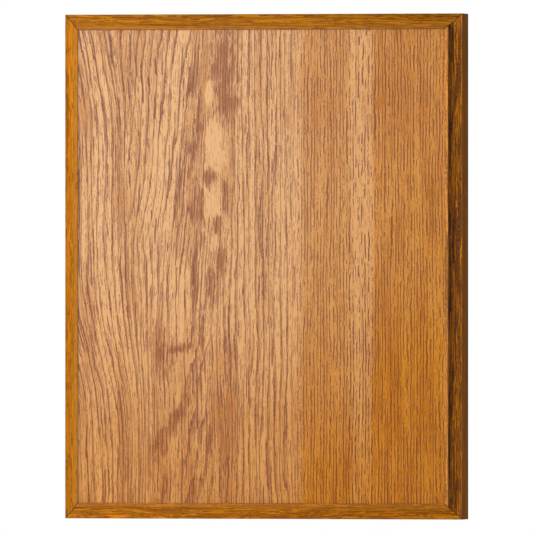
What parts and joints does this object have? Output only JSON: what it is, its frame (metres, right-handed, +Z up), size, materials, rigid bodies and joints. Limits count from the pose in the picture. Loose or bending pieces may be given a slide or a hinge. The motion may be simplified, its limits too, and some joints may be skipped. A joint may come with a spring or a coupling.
{
  "type": "wooden wall plaque",
  "caption": "Upright rectangular oak plaque: a flat veneered panel edged with a narrow mitred cove moulding, with keyhole hanging plates let into its back.",
  "frame": {"origin": "middle of the back face, which lies against the wall", "axes": "+Z up along the long side, +X to the right as seen from the front, +Y out of the back into the wall, so the front faces -Y"},
  "size_m": [0.205, 0.0206, 0.254],
  "materials": {
    "oak_veneer": "satin lacquer over stained red oak veneer",
    "oak_moulding": "satin lacquer over dark golden stained oak",
    "fibreboard": "raw",
    "backing": "matte",
    "steel": "zinc plated"
  },
  "bodies": {
    "root": {"core_board": "fibreboard", "front_veneer": "oak_veneer", "back_sheet": "backing", "top_rail": "oak_moulding", "bottom_rail": "oak_moulding", "left_rail": "oak_moulding", "right_rail": "oak_moulding", "corner_nails": "steel", "top_keyhole_plate": "steel", "side_keyhole_plate": "steel", "plate_screws": "steel"}
  },
  "joints": []
}
